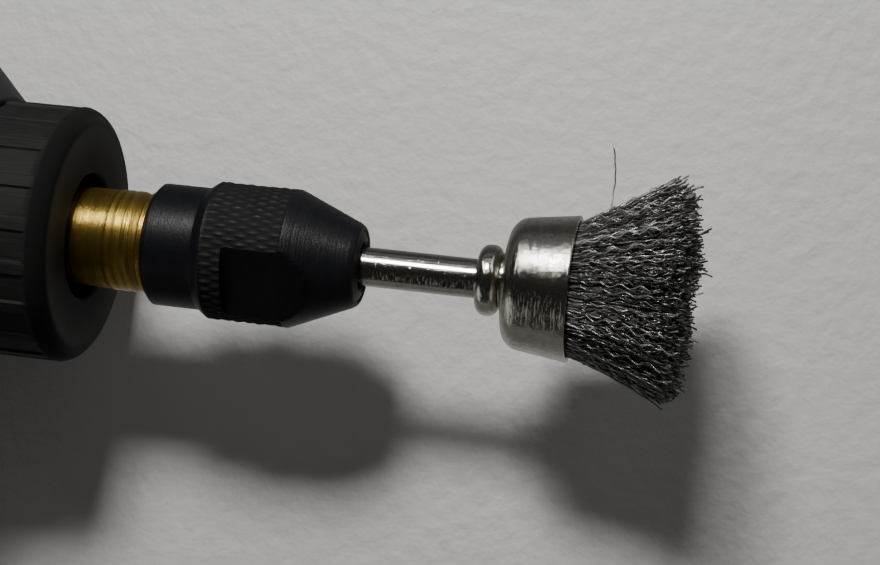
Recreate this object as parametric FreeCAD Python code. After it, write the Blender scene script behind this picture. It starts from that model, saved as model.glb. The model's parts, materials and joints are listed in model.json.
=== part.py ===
import FreeCAD, Part
import math
import os

os.makedirs("parts", exist_ok=True)

# Electric pin vise: a hand-held mini drill holding a crimped wire cup brush.
# All lengths are millimetres. Every piece is drawn about the spindle axis, which runs along +X.
# A station is the distance along that axis from the front face of the nose ring, forward positive.
# The last step moves every piece so the flat underside lies on Z = 0 and the box is centred in X.

# overall
TOOL_TIP = 47.6
FIT_GAP = 0.01
BODY_REAR = -92.4
AXIS_HEIGHT = 15.0
X_SHIFT = -(TOOL_TIP + BODY_REAR) / 2

# housing
BODY_RADIUS = 16.0
CAVITY_RADIUS = 13.9
SHELL_REAR = -85.0
FLARE_FRONT = -7.2
FLARE_REAR = -13.2
FLARE_FRONT_RADIUS = 10.2
SHOULDER_ROUND = 3.0
NECK_FRONT = -3.0
NECK_RADIUS = 7.6
NECK_BORE = 5.6
NECK_PITCH = 1.0
NECK_THREAD_DEPTH = 0.4
SEAM_HALF_WIDTH = 0.15
SEAM_DEPTH = 0.35
FRONT_RIB = (-15.5, -16.95, 11.0)
RIB_SEAT_RADIUS = 13.0
REAR_RIB = (-54.05, -55.6, 12.2)

# plain band for a drill stand's collar, between two grooves round the barrel
CLAMP_REAR = -45.0
CLAMP_FRONT = -21.0
CLAMP_GROOVE_WIDTH = 1.0
CLAMP_GROOVE_DEPTH = 0.5
CLAMP_GROOVE_SLOPE = 0.2

# shell screws run along Y, from the right shell into the left one
SCREW_PLACES = [(-13.6, 9.5), (-13.6, -9.5), (-61.0, 10.5), (-61.0, -10.5)]
BOSS_RADIUS = 2.4
SCREW_RADIUS = 0.95
SCREW_HEAD_RADIUS = 1.9
SCREW_SEAT_Y = -8.0
SCREW_TIP_Y = 6.0
SCREW_HEAD_HEIGHT = 1.5

# vents, five a side over the rear of the motor
VENT_STATIONS = [-48.5, -50.9, -53.3, -55.7, -58.1]
VENT_WIDTH = 1.2
VENT_HALF_ANGLE = 22.0

# tail cap
TAIL_REAR = -91.0
TAIL_PLATE = 2.0
TAIL_ROUND = 2.5
SPIGOT_FRONT = -81.5
SPIGOT_RADIUS = 13.85
SPIGOT_BORE = 12.0
TAIL_SCREW_STATION = -83.0
TAIL_SCREW_HEAD_RADIUS = 1.6
TAIL_SCREW_HEAD_HEIGHT = 1.0
TAIL_SCREW_LENGTH = 3.6

# nose ring
RING_RADIUS = 10.0
RING_REAR = -7.0
RING_HOLE = 4.9
RING_WALL = 1.5
RING_RIM_ROUND = 1.3
RING_BORE = 7.65
RIB_COUNT = 18
RIB_FRONT = -2.3
RIB_GROOVE_ARC = 7.5
RIB_GROOVE_DEPTH = 0.2
RIB_FIRST_ANGLE = 86.9
O_RING_RADIUS = 6.7
O_RING_SECTION = 0.6
O_RING_STATION = -2.2

# spindle, thread M8 x 0.75
SPINDLE_REAR = -10.5
SPINDLE_FRONT = 14.5
SPINDLE_RADIUS = 3.85
THREAD_CREST = 3.925
THREAD_DEPTH = 0.42
THREAD_PITCH = 0.75
THREAD_START = 2.7
COLLET_POCKET_RADIUS = 2.2
COLLET_POCKET_REAR = 3.5
GRUB_STATION = -5.5
GRUB_RADIUS = 1.5
GRUB_SOCKET_FLATS = 1.4

# collet
COLLET_REAR = 4.5
COLLET_FRONT = 19.9
COLLET_RADIUS = 2.15
COLLET_BORE = 1.53
COLLET_SLIT = 0.35
COLLET_SLIT_REAR = 8.0
COLLET_RELIEF_RADIUS = 0.45

# collet nut
NUT_REAR = 5.5
NUT_FRONT = 22.0
NUT_COLLAR_RADIUS = 4.735
NUT_KNURL_RADIUS = 5.35
NUT_COLLAR_FRONT = 9.66
NUT_KNURL_REAR = 10.5
NUT_KNURL_FRONT = 16.62
NUT_CONE_FRONT = 21.49
NUT_CONE_FRONT_RADIUS = 3.285
NUT_FACE_RADIUS = 2.75
NUT_NOSE_HOLE = 1.8
NUT_BORE = 3.97
NUT_BORE_FRONT = 15.4
NUT_SEAT_RADIUS = 2.27
NUT_SEAT_REAR = 18.9
NUT_SEAT_FRONT = 20.4
FLAT_DISTANCE = 4.4
FLAT_REAR = 12.2
FLAT_ANGLE = 32.5
KNURL_COUNT = 36
KNURL_TILT = 18.0
KNURL_DEPTH = 0.22
KNURL_HALF_WIDTH = 0.3

# wire cup brush on its 3 mm shank
SHANK_RADIUS = 1.5
SHANK_REAR = 6.0
BEAD_RADIUS = 2.7
BEAD_REAR = 30.9
BEAD_FRONT = 32.65
WASHER_RADIUS = 2.2
CUP_REAR = 33.1
CUP_FRONT = 38.2
CUP_REAR_RADIUS = 4.85
CUP_FRONT_RADIUS = 5.525
CUP_SHEET = 0.4
RIVET_RADIUS = 2.4
RIVET_HEIGHT = 0.7
WIRE_REAR = 34.3
WIRE_TIP_RADIUS = 8.45
WIRE_CORE_RADIUS = 1.7
WIRE_ROOT_RADIUS = 3.9
WIRE_MOUTH_RADIUS = 5.05
WIRE_HOLLOW_RADIUS = 3.2
WIRE_HOLLOW_REAR = 40.5
WIRE_TUFTS = 24
TUFT_GAP_RADIUS = 0.38

# motor, 27.7 mm can with a 2.3 mm shaft
MOTOR_FRONT = -17.0
CAN_REAR = -50.0
CAN_RADIUS = 13.85
CAN_WALL = 1.0
END_CAP_REAR = -54.0
END_CAP_WEB = 1.5
END_CAP_HOLLOW_RADIUS = 6.5
MOTOR_BOSS_RADIUS = 5.0
MOTOR_BOSS_FRONT = -15.0
MOTOR_BOSS_REAR = -55.4
BUSH_RADIUS = 3.0
SHAFT_RADIUS = 1.15
SHAFT_FRONT = -0.9
SHAFT_REAR = -56.2
MAGNET_OUTER = 12.75
MAGNET_INNER = 10.9
MAGNET_ARC = 130.0
MAGNET_FRONT = -20.5
MAGNET_REAR = -46.0
CORE_RADIUS = 10.3
CORE_HUB_RADIUS = 3.6
CORE_SHOE = 1.5
CORE_SHOE_ARC = 98.0
TOOTH_HALF_WIDTH = 2.0
CORE_FRONT = -24.0
CORE_REAR = -42.0
COIL_OVERHANG = 2.4
COIL_OUTLINE = [(3.2, 4.0), (5.9, 5.9), (2.9, 8.1), (-2.9, 8.1), (-5.9, 5.9), (-3.2, 4.0)]
COMMUTATOR_RADIUS = 4.0
COMMUTATOR_FRONT = -46.0
COMMUTATOR_REAR = -51.6
COMMUTATOR_RISER = 0.8
CARBON_REAR = -50.6
CARBON_FRONT = -48.2
CARBON_HALF_WIDTH = 1.4
CARBON_DEPTH = 1.7
CARBON_GAP = 0.06
SPRING_ARM_THICKNESS = 0.3
TERMINAL_Y = 8.0
TERMINAL_TIP = -60.0
TERMINAL_HALF_THICKNESS = 0.25
TERMINAL_HALF_WIDTH = 1.2
TERMINAL_EYE_RADIUS = 0.5

# slide switch, on top near the tail
POCKET_REAR = -81.0
POCKET_FRONT = -66.8
POCKET_HALF_WIDTH = 4.6
POCKET_FLOOR = 15.2
SLOT_REAR = -78.9
SLOT_FRONT = -69.0
SLOT_HALF_WIDTH = 1.7
PAD_REAR = -80.7
PAD_LENGTH = 8.5
PAD_HALF_WIDTH = 4.2
PAD_TOP = 17.6
PAD_GROOVES = 5
PAD_GROOVE_RADIUS = 0.38
STEM_LENGTH = 4.0
STEM_HALF_WIDTH = 1.4
SWITCH_REAR = -81.2
SWITCH_FRONT = -66.6
SWITCH_HALF_WIDTH = 3.4
SWITCH_TOP = 13.2
SWITCH_WELL_FLOOR = 11.4
SWITCH_BOTTOM = 7.4
SWITCH_LUG_STATIONS = [-71.0, -74.0, -77.0]
SWITCH_LUG_TIP = 5.2
SHELF_LENGTH = 1.4
SHELF_HEIGHT = 1.6

# power inlet, 5.5 / 2.1 mm barrel jack
JACK_RADIUS = 3.95
JACK_FLANGE_RADIUS = 5.2
JACK_FRONT = -80.5
JACK_SOCKET_RADIUS = 2.8
JACK_SOCKET_END = -83.5
JACK_PIN_RADIUS = 1.05
JACK_NUT_FLATS = 11.0
JACK_LUG_FRONT = -77.5

# capacitor across the motor terminals
CAPACITOR_STATION = -58.3
CAPACITOR_RADIUS = 3.2
CAPACITOR_HALF_THICKNESS = 1.0
CAPACITOR_LEG_RADIUS = 0.28

# leads
LEAD_RADIUS = 0.6


def vec(x, y, z):
    return FreeCAD.Vector(x, y, z)


def rounded_face(points):
    """Closed face in the XZ plane. A point (station, radius, round) gets a rounded corner."""
    count = len(points)
    corners = []
    for index, point in enumerate(points):
        here = vec(point[0], 0, point[1])
        rounding = point[2] if len(point) > 2 else 0
        if rounding == 0:
            corners.append((here, None, here))
            continue
        before = points[index - 1]
        after = points[(index + 1) % count]
        to_before = (vec(before[0], 0, before[1]) - here).normalize()
        to_after = (vec(after[0], 0, after[1]) - here).normalize()
        half = to_before.getAngle(to_after) / 2
        setback = rounding / math.tan(half)
        middle = here + (to_before + to_after).normalize() * (rounding / math.sin(half) - rounding)
        corners.append((here + to_before * setback, middle, here + to_after * setback))
    edges = []
    for index, (start, middle, end) in enumerate(corners):
        if middle is not None:
            edges.append(Part.Arc(start, middle, end).toShape())
        following = corners[(index + 1) % count][0]
        if end.distanceToPoint(following) > 1e-6:
            edges.append(Part.LineSegment(end, following).toShape())
    return Part.Face(Part.Wire(edges))


def outward(shape):
    if shape.Volume < 0:
        shape.reverse()
    return shape


def turned(points):
    """Solid of revolution about the spindle axis."""
    return outward(rounded_face(points).revolve(vec(0, 0, 0), vec(1, 0, 0), 360))


def rod(radius, start, end):
    low = min(start, end)
    return Part.makeCylinder(radius, abs(end - start), vec(low, 0, 0), vec(1, 0, 0))


def tube(outer, inner, start, end):
    return rod(outer, start, end).cut(rod(inner, start, end))


def rod_at(radius, base, direction, length):
    return Part.makeCylinder(radius, length, base, direction)


def block(x_range, y_range, z_range):
    size = [abs(pair[1] - pair[0]) for pair in (x_range, y_range, z_range)]
    corner = vec(min(x_range), min(y_range), min(z_range))
    return Part.makeBox(size[0], size[1], size[2], corner)


def turned_copy(shape, angle):
    copy = shape.copy()
    copy.rotate(vec(0, 0, 0), vec(1, 0, 0), angle)
    return copy


def around(shape, count, first=0.0):
    return [turned_copy(shape, first + 360.0 * index / count) for index in range(count)]


def sector(outer, inner, start, end, arc, centre_angle):
    """Part of a tube, arc degrees wide, centred on centre_angle measured from +Y towards +Z."""
    face = Part.Face(Part.Wire([
        Part.LineSegment(vec(start, inner, 0), vec(start, outer, 0)).toShape(),
        Part.LineSegment(vec(start, outer, 0), vec(end, outer, 0)).toShape(),
        Part.LineSegment(vec(end, outer, 0), vec(end, inner, 0)).toShape(),
        Part.LineSegment(vec(end, inner, 0), vec(start, inner, 0)).toShape(),
    ]))
    face.rotate(vec(0, 0, 0), vec(1, 0, 0), centre_angle - arc / 2)
    return outward(face.revolve(vec(0, 0, 0), vec(1, 0, 0), arc))


def prism(outline, start, end):
    """Outline of (y, z) points, drawn out along the axis."""
    points = [vec(start, y, z) for y, z in outline]
    face = Part.Face(Part.makePolygon(points + [points[0]]))
    return outward(face.extrude(vec(end - start, 0, 0)))


def hexagon(across_flats, start, end):
    corner = across_flats / math.sqrt(3)
    angles = [math.radians(30 + 60 * index) for index in range(6)]
    return prism([(corner * math.cos(a), corner * math.sin(a)) for a in angles], start, end)


def thread_points(first, last, pitch, crest, root):
    """Zigzag of thread crests and roots from station first to station last."""
    points = []
    count = int(abs(last - first) / pitch)
    step = pitch if last > first else -pitch
    flat = 0.12 * step
    for index in range(count):
        start = first + index * step
        points.append((start, crest))
        points.append((start + flat, crest))
        points.append((start + 0.5 * step, root))
        points.append((start + step - flat, crest))
    points.append((first + count * step, crest))
    return points


def lead(points, radius):
    """Insulated wire along a smooth path through the points."""
    curve = Part.BSplineCurve()
    curve.interpolate([vec(*point) for point in points])
    path = Part.Wire([curve.toShape()])
    start = curve.value(curve.FirstParameter)
    direction = curve.tangent(curve.FirstParameter)[0]
    ring = Part.Wire([Part.makeCircle(radius, start, direction)])
    return outward(path.makePipeShell([ring], True, True))


def screw(head_radius, head_height, shank_radius, length):
    """Pan-head cross-recess screw: head seat at the origin, shank along +Y, head along -Y."""
    head = turned([
        (0, 0), (0, head_radius), (-head_height, head_radius, head_height * 0.45), (-head_height, 0),
    ])
    taper = shank_radius * 1.2
    shank_points = [(0, 0), (0, shank_radius)]
    shank_points += thread_points(0.3, length - taper, 0.7, shank_radius, shank_radius * 0.72)
    shank_points += [(length, 0.05), (length, 0)]
    body = head.fuse(turned(shank_points))
    slot = head_radius * 0.62
    cross = block((-head_height - 0.1, -head_height * 0.4), (-slot, slot), (-0.22, 0.22))
    body = body.cut(cross).cut(turned_copy(cross, 90))
    body.rotate(vec(0, 0, 0), vec(0, 0, 1), 90)
    return body


def housing_outline():
    """Outside of both shells together, as one full solid."""
    points = [(NECK_FRONT, 0), (NECK_FRONT, NECK_RADIUS - 0.4)]
    points += thread_points(NECK_FRONT - 0.1, FLARE_FRONT + 0.1, NECK_PITCH,
                            NECK_RADIUS, NECK_RADIUS - NECK_THREAD_DEPTH)
    points += [
        (FLARE_FRONT, NECK_RADIUS),
        (FLARE_FRONT, FLARE_FRONT_RADIUS, 0.3),
        (FLARE_REAR, BODY_RADIUS, SHOULDER_ROUND),
    ]
    points += clamp_groove(CLAMP_FRONT + CLAMP_GROOVE_WIDTH)
    points += clamp_groove(CLAMP_REAR)
    points += [(SHELL_REAR, BODY_RADIUS), (SHELL_REAR, 0)]
    return turned(points)


def clamp_groove(front):
    """Groove round the barrel, from its front edge backwards."""
    rear = front - CLAMP_GROOVE_WIDTH
    floor = BODY_RADIUS - CLAMP_GROOVE_DEPTH
    return [
        (front, BODY_RADIUS), (front - CLAMP_GROOVE_SLOPE, floor),
        (rear + CLAMP_GROOVE_SLOPE, floor), (rear, BODY_RADIUS),
    ]


def housing_cavity():
    """Space inside the shells: neck bore, flare, motor bay with its two ribs, rear bay."""
    return turned([
        (0, 0), (0, NECK_BORE), (-9.2, NECK_BORE), (-9.2, 8.6), (-13.2, RIB_SEAT_RADIUS),
        (FRONT_RIB[0], RIB_SEAT_RADIUS), (FRONT_RIB[0], FRONT_RIB[2]), (FRONT_RIB[1], FRONT_RIB[2]),
        (FRONT_RIB[1], CAVITY_RADIUS), (REAR_RIB[0], CAVITY_RADIUS), (REAR_RIB[0], REAR_RIB[2]),
        (REAR_RIB[1], REAR_RIB[2]), (REAR_RIB[1], CAVITY_RADIUS),
        (SHELL_REAR - 1, CAVITY_RADIUS), (SHELL_REAR - 1, 0),
    ])


def vent_cutters():
    """Curved slots through both side walls."""
    cutters = []
    for station in VENT_STATIONS:
        for centre in (0, 180):
            cutters.append(sector(BODY_RADIUS + 1, CAVITY_RADIUS - 2.4, station - VENT_WIDTH / 2,
                                  station + VENT_WIDTH / 2, 2 * VENT_HALF_ANGLE, centre))
    return cutters


def below_flat():
    return block((BODY_REAR - 5, 5), (-20, 20), (-30, -AXIS_HEIGHT))


def make_shells():
    outline = housing_outline()
    body = outline.cut(housing_cavity())
    additions = []
    for station, height in SCREW_PLACES:
        boss = rod_at(BOSS_RADIUS, vec(station, -20, height), vec(0, 1, 0), 40)
        additions.append(boss.common(outline))
    shelf_room = rod(CAVITY_RADIUS + 0.3, SHELL_REAR, SWITCH_FRONT + 1)
    for rear in (SWITCH_REAR + 0.4, SWITCH_FRONT - SHELF_LENGTH - 0.6):
        for side in (-1, 1):
            shelf = block((rear, rear + SHELF_LENGTH), (side * 1.9, side * 15),
                          (SWITCH_BOTTOM - SHELF_HEIGHT, SWITCH_BOTTOM - 0.05))
            additions.append(shelf.common(shelf_room))
    body = body.fuse(additions).removeSplitter()
    cutters = vent_cutters()
    cutters.append(below_flat())
    cutters.append(block((POCKET_REAR, POCKET_FRONT), (-POCKET_HALF_WIDTH, POCKET_HALF_WIDTH),
                         (POCKET_FLOOR, 20)))
    cutters.append(block((SLOT_REAR, SLOT_FRONT), (-SLOT_HALF_WIDTH, SLOT_HALF_WIDTH), (13, 20)))
    skin = rod(BODY_RADIUS + 1, SHELL_REAR - 1, FLARE_REAR - 1.6)
    skin = skin.cut(rod(BODY_RADIUS - SEAM_DEPTH, SHELL_REAR - 1, FLARE_REAR - 1.6))
    seam = block((SHELL_REAR - 1, 0), (-SEAM_HALF_WIDTH, SEAM_HALF_WIDTH), (-20, 20))
    cutters.append(skin.common(seam))
    for station, height in SCREW_PLACES:
        cutters.append(rod_at(SCREW_HEAD_RADIUS + 0.2, vec(station, -20, height),
                              vec(0, 1, 0), 20 + SCREW_SEAT_Y))
        cutters.append(rod_at(SCREW_RADIUS + 0.02, vec(station, -20, height),
                              vec(0, 1, 0), 20 + SCREW_TIP_Y + 1))
    for side in (-1, 1):
        seat = BODY_RADIUS - 1.0
        cutters.append(rod_at(TAIL_SCREW_HEAD_RADIUS + 0.15, vec(TAIL_SCREW_STATION, side * seat, 0),
                              vec(0, side, 0), 5))
        cutters.append(rod_at(SCREW_RADIUS + 0.02, vec(TAIL_SCREW_STATION, side * 10, 0),
                              vec(0, side, 0), 8))
    body = body.cut(cutters)
    left = body.common(block((-100, 5), (0.01, 20), (-20, 20)))
    right = body.common(block((-100, 5), (-20, -0.01), (-20, 20)))
    return left, right


def make_shell_screws():
    screws = []
    for station, height in SCREW_PLACES:
        one = screw(SCREW_HEAD_RADIUS, SCREW_HEAD_HEIGHT, SCREW_RADIUS, SCREW_TIP_Y - SCREW_SEAT_Y)
        one.translate(vec(station, SCREW_SEAT_Y, height))
        screws.append(one)
    return Part.makeCompound(screws)


def make_tail_screws():
    screws = []
    for side in (-1, 1):
        one = screw(TAIL_SCREW_HEAD_RADIUS, TAIL_SCREW_HEAD_HEIGHT, SCREW_RADIUS, TAIL_SCREW_LENGTH)
        if side > 0:
            one.rotate(vec(0, 0, 0), vec(0, 0, 1), 180)
        one.translate(vec(TAIL_SCREW_STATION, side * (BODY_RADIUS - 1.0), 0))
        screws.append(one)
    return Part.makeCompound(screws)


def make_tail_cap():
    plate = TAIL_REAR + TAIL_PLATE
    body = turned([
        (SHELL_REAR - 0.05, SPIGOT_RADIUS), (SHELL_REAR - 0.05, BODY_RADIUS),
        (TAIL_REAR, BODY_RADIUS, TAIL_ROUND), (TAIL_REAR, JACK_RADIUS + 0.05),
        (plate, JACK_RADIUS + 0.05), (plate, SPIGOT_BORE, 1.0),
        (SPIGOT_FRONT, SPIGOT_BORE), (SPIGOT_FRONT, SPIGOT_RADIUS),
    ])
    cutters = [below_flat()]
    for side in (-1, 1):
        cutters.append(rod_at(SCREW_RADIUS + 0.02, vec(TAIL_SCREW_STATION, side * 10, 0),
                              vec(0, side, 0), 8))
    return body.cut(cutters)


def make_nose_ring():
    rear_bore = thread_points(RING_REAR + 0.2, -RING_WALL - 0.8, NECK_PITCH,
                              RING_BORE, RING_BORE + NECK_THREAD_DEPTH)
    body = turned(
        [(RING_REAR, RING_BORE + 0.2)] + rear_bore
        + [
            (-RING_WALL, RING_BORE), (-RING_WALL, RING_HOLE), (0, RING_HOLE, 0.25),
            (0, RING_RADIUS, RING_RIM_ROUND), (RING_REAR, RING_RADIUS, 0.3),
        ]
    )
    groove = sector(RING_RADIUS + 1, RING_RADIUS - RIB_GROOVE_DEPTH, RING_REAR - 1, RIB_FRONT,
                    RIB_GROOVE_ARC, RIB_FIRST_ANGLE)
    return body.cut(around(groove, RIB_COUNT))


def make_o_ring():
    return Part.makeTorus(O_RING_RADIUS, O_RING_SECTION, vec(O_RING_STATION, 0, 0), vec(1, 0, 0))


def make_spindle():
    root = THREAD_CREST - THREAD_DEPTH
    outside = [(SPINDLE_REAR, 0), (SPINDLE_REAR, SPINDLE_RADIUS, 0.4)]
    outside += [(THREAD_START - 0.5, SPINDLE_RADIUS), (THREAD_START - 0.2, root + 0.1)]
    outside += thread_points(THREAD_START, SPINDLE_FRONT - 0.5, THREAD_PITCH, THREAD_CREST, root)
    outside += [(SPINDLE_FRONT, root), (SPINDLE_FRONT, 0)]
    pocket = turned([
        (SHAFT_FRONT + 1.4, 0), (SHAFT_FRONT + 1.4, SHANK_RADIUS + 0.1),
        (COLLET_POCKET_REAR, SHANK_RADIUS + 0.1), (COLLET_POCKET_REAR, COLLET_POCKET_RADIUS),
        (SPINDLE_FRONT - 0.5, COLLET_POCKET_RADIUS), (SPINDLE_FRONT + 0.1, COLLET_POCKET_RADIUS + 0.6),
        (SPINDLE_FRONT + 0.1, 0),
    ])
    cutters = [pocket, rod(SHAFT_RADIUS + FIT_GAP, SPINDLE_REAR - 1, SHAFT_FRONT + 0.3)]
    for side in (-1, 1):
        cutters.append(rod_at(GRUB_RADIUS + FIT_GAP, vec(GRUB_STATION, 0, 0), vec(0, 0, side), 6))
    return turned(outside).cut(cutters)


def make_grub_screws():
    screws = []
    for side in (-1, 1):
        top = SPINDLE_RADIUS - 0.15
        bottom = SHAFT_RADIUS + 0.02
        body = rod_at(GRUB_RADIUS, vec(GRUB_STATION, 0, side * bottom), vec(0, 0, side), top - bottom)
        socket = hexagon(GRUB_SOCKET_FLATS, 0, 1.3)
        socket.rotate(vec(0, 0, 0), vec(0, 1, 0), -90)
        if side < 0:
            socket.rotate(vec(0, 0, 0), vec(1, 0, 0), 180)
        socket.translate(vec(GRUB_STATION, 0, side * (top - 1.2)))
        screws.append(body.cut(socket))
    return Part.makeCompound(screws)


def make_collet():
    body = turned([
        (COLLET_REAR, COLLET_BORE), (COLLET_REAR, COLLET_RADIUS, 0.2),
        (NUT_SEAT_REAR - 0.2, COLLET_RADIUS), (COLLET_FRONT, COLLET_BORE + 0.27),
        (COLLET_FRONT, COLLET_BORE),
    ])
    slit = block((COLLET_SLIT_REAR, COLLET_FRONT + 1), (-COLLET_SLIT / 2, COLLET_SLIT / 2), (-3, 3))
    relief = rod_at(COLLET_RELIEF_RADIUS, vec(COLLET_SLIT_REAR, -3, 0), vec(0, 1, 0), 6)
    return body.cut([slit, turned_copy(slit, 90), relief, turned_copy(relief, 90)])


def make_nut():
    rear_thread = thread_points(NUT_REAR + 0.6, NUT_BORE_FRONT - 0.4, THREAD_PITCH,
                                NUT_BORE, NUT_BORE + 0.3)
    inside = [(NUT_REAR, NUT_BORE + 0.05)] + rear_thread
    inside += [
        (NUT_BORE_FRONT, NUT_BORE), (NUT_BORE_FRONT + 0.9, NUT_SEAT_RADIUS + 0.5),
        (NUT_SEAT_REAR - 0.9, NUT_SEAT_RADIUS), (NUT_SEAT_REAR, NUT_SEAT_RADIUS),
        (NUT_SEAT_FRONT, NUT_NOSE_HOLE), (NUT_FRONT - 0.25, NUT_NOSE_HOLE),
        (NUT_FRONT, NUT_NOSE_HOLE + 0.25),
    ]
    outside = [
        (NUT_FRONT, NUT_FACE_RADIUS), (NUT_CONE_FRONT + 0.33, NUT_CONE_FRONT_RADIUS - 0.2),
        (NUT_CONE_FRONT, NUT_CONE_FRONT_RADIUS), (NUT_KNURL_FRONT, NUT_KNURL_RADIUS),
        (NUT_KNURL_REAR, NUT_KNURL_RADIUS), (NUT_COLLAR_FRONT, NUT_COLLAR_RADIUS),
        (NUT_REAR + 0.5, NUT_COLLAR_RADIUS, 0.2), (NUT_REAR, NUT_COLLAR_RADIUS - 0.55),
    ]
    body = turned(inside + outside)
    middle = (NUT_KNURL_REAR + NUT_KNURL_FRONT) / 2
    half_length = (NUT_KNURL_FRONT - NUT_KNURL_REAR) / 2
    top = NUT_KNURL_RADIUS + KNURL_DEPTH
    spread = 2 * KNURL_HALF_WIDTH
    cutters = []
    for tilt in (-KNURL_TILT, KNURL_TILT):
        groove = prism([(0, NUT_KNURL_RADIUS - KNURL_DEPTH), (spread, top), (-spread, top)],
                       middle - half_length - 0.3, middle + half_length + 0.3)
        groove.rotate(vec(middle, 0, 0), vec(0, 0, 1), tilt)
        cutters += around(groove, KNURL_COUNT)
    body = body.cut(cutters)
    flats = []
    for side in (FLAT_ANGLE, FLAT_ANGLE + 180):
        slab = block((FLAT_REAR, NUT_FRONT + 1), (-8, 8), (FLAT_DISTANCE, 9))
        flats.append(turned_copy(slab, side))
    return body.cut(flats)


def make_shank():
    cup_floor = CUP_REAR + CUP_SHEET
    return turned([
        (SHANK_REAR, 0), (SHANK_REAR, SHANK_RADIUS, 0.3), (cup_floor, SHANK_RADIUS),
        (cup_floor, RIVET_RADIUS), (cup_floor + RIVET_HEIGHT, RIVET_RADIUS, 0.4),
        (cup_floor + RIVET_HEIGHT, 0),
    ])


def make_bead():
    return turned([
        (BEAD_REAR, SHANK_RADIUS + FIT_GAP), (BEAD_REAR, BEAD_RADIUS, 0.75),
        (BEAD_FRONT, BEAD_RADIUS, 0.75), (BEAD_FRONT, SHANK_RADIUS + FIT_GAP),
    ])


def make_washer():
    return turned([
        (BEAD_FRONT + FIT_GAP, SHANK_RADIUS + FIT_GAP), (BEAD_FRONT + FIT_GAP, WASHER_RADIUS, 0.12),
        (CUP_REAR - FIT_GAP, WASHER_RADIUS, 0.12), (CUP_REAR - FIT_GAP, SHANK_RADIUS + FIT_GAP),
    ])


def make_cup():
    inner_floor = CUP_REAR + CUP_SHEET
    return turned([
        (CUP_REAR, SHANK_RADIUS + FIT_GAP), (CUP_REAR, CUP_REAR_RADIUS, 1.5),
        (CUP_FRONT, CUP_FRONT_RADIUS, 0.15), (CUP_FRONT, CUP_FRONT_RADIUS - CUP_SHEET, 0.15),
        (inner_floor, CUP_REAR_RADIUS - CUP_SHEET, 1.1), (inner_floor, SHANK_RADIUS + FIT_GAP),
    ])


def make_wires():
    bundle = turned([
        (WIRE_REAR, WIRE_CORE_RADIUS), (WIRE_REAR, WIRE_ROOT_RADIUS), (WIRE_REAR + 1.3, 4.6),
        (CUP_FRONT + 0.2, WIRE_MOUTH_RADIUS), (TOOL_TIP - 0.4, WIRE_TIP_RADIUS),
        (TOOL_TIP, WIRE_TIP_RADIUS - 0.5), (TOOL_TIP - 0.7, WIRE_HOLLOW_RADIUS),
        (WIRE_HOLLOW_REAR, WIRE_CORE_RADIUS),
    ])
    start = vec(CUP_FRONT + 0.8, 0, 5.5)
    end = vec(TOOL_TIP + 1, 0, WIRE_TIP_RADIUS + 0.65)
    gap = rod_at(TUFT_GAP_RADIUS, start, end - start, (end - start).Length)
    return bundle.cut(around(gap, WIRE_TUFTS))


def make_can():
    return turned([
        (MOTOR_BOSS_FRONT, BUSH_RADIUS + FIT_GAP), (MOTOR_BOSS_FRONT, MOTOR_BOSS_RADIUS, 0.3),
        (MOTOR_FRONT, MOTOR_BOSS_RADIUS), (MOTOR_FRONT, CAN_RADIUS, 1.2), (CAN_REAR, CAN_RADIUS),
        (CAN_REAR, CAN_RADIUS - CAN_WALL), (MOTOR_FRONT - CAN_WALL, CAN_RADIUS - CAN_WALL, 0.6),
        (MOTOR_FRONT - CAN_WALL, BUSH_RADIUS + FIT_GAP),
    ])


def make_magnets():
    pair = [sector(MAGNET_OUTER, MAGNET_INNER, MAGNET_FRONT, MAGNET_REAR, MAGNET_ARC, angle)
            for angle in (90, 270)]
    return Part.makeCompound(pair)


def make_end_cap():
    flange = turned([
        (CAN_REAR - 0.02, END_CAP_HOLLOW_RADIUS), (CAN_REAR - 0.02, CAN_RADIUS - 0.2),
        (END_CAP_REAR, CAN_RADIUS - 0.4, 0.8), (END_CAP_REAR, MOTOR_BOSS_RADIUS),
        (MOTOR_BOSS_REAR, MOTOR_BOSS_RADIUS, 0.4), (MOTOR_BOSS_REAR, BUSH_RADIUS + FIT_GAP),
        (END_CAP_REAR + END_CAP_WEB, BUSH_RADIUS + FIT_GAP),
        (END_CAP_REAR + END_CAP_WEB, END_CAP_HOLLOW_RADIUS),
    ])
    slot_half_thickness = TERMINAL_HALF_THICKNESS + 0.2
    slot_half_width = TERMINAL_HALF_WIDTH + 0.15
    cutters = []
    for side in (-1, 1):
        y_range = (side * (TERMINAL_Y - slot_half_thickness), side * (TERMINAL_Y + slot_half_thickness))
        cutters.append(block((END_CAP_REAR - 1, CAN_REAR + 1), y_range,
                             (-slot_half_width, slot_half_width)))
    return flange.cut(cutters)


def make_bushes():
    bore = SHAFT_RADIUS + 2 * FIT_GAP
    front = tube(BUSH_RADIUS, bore, MOTOR_BOSS_FRONT - 0.05, MOTOR_FRONT - CAN_WALL)
    rear = tube(BUSH_RADIUS, bore, END_CAP_REAR + END_CAP_WEB, MOTOR_BOSS_REAR + 0.05)
    return front, rear


def make_carbon_brushes():
    """Two carbons on spring arms, one each side of the commutator."""
    near = COMMUTATOR_RADIUS + CARBON_GAP
    back = near + CARBON_DEPTH
    middle = (CARBON_REAR + CARBON_FRONT) / 2
    carbon = block((CARBON_REAR, CARBON_FRONT), (-CARBON_HALF_WIDTH, CARBON_HALF_WIDTH), (near, back))
    arm = block((middle - 0.2, middle + 0.2), (-0.9, TERMINAL_Y + 0.4),
                (back + FIT_GAP, back + FIT_GAP + SPRING_ARM_THICKNESS))
    return Part.makeCompound(around(carbon, 2) + around(arm, 2))


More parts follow.
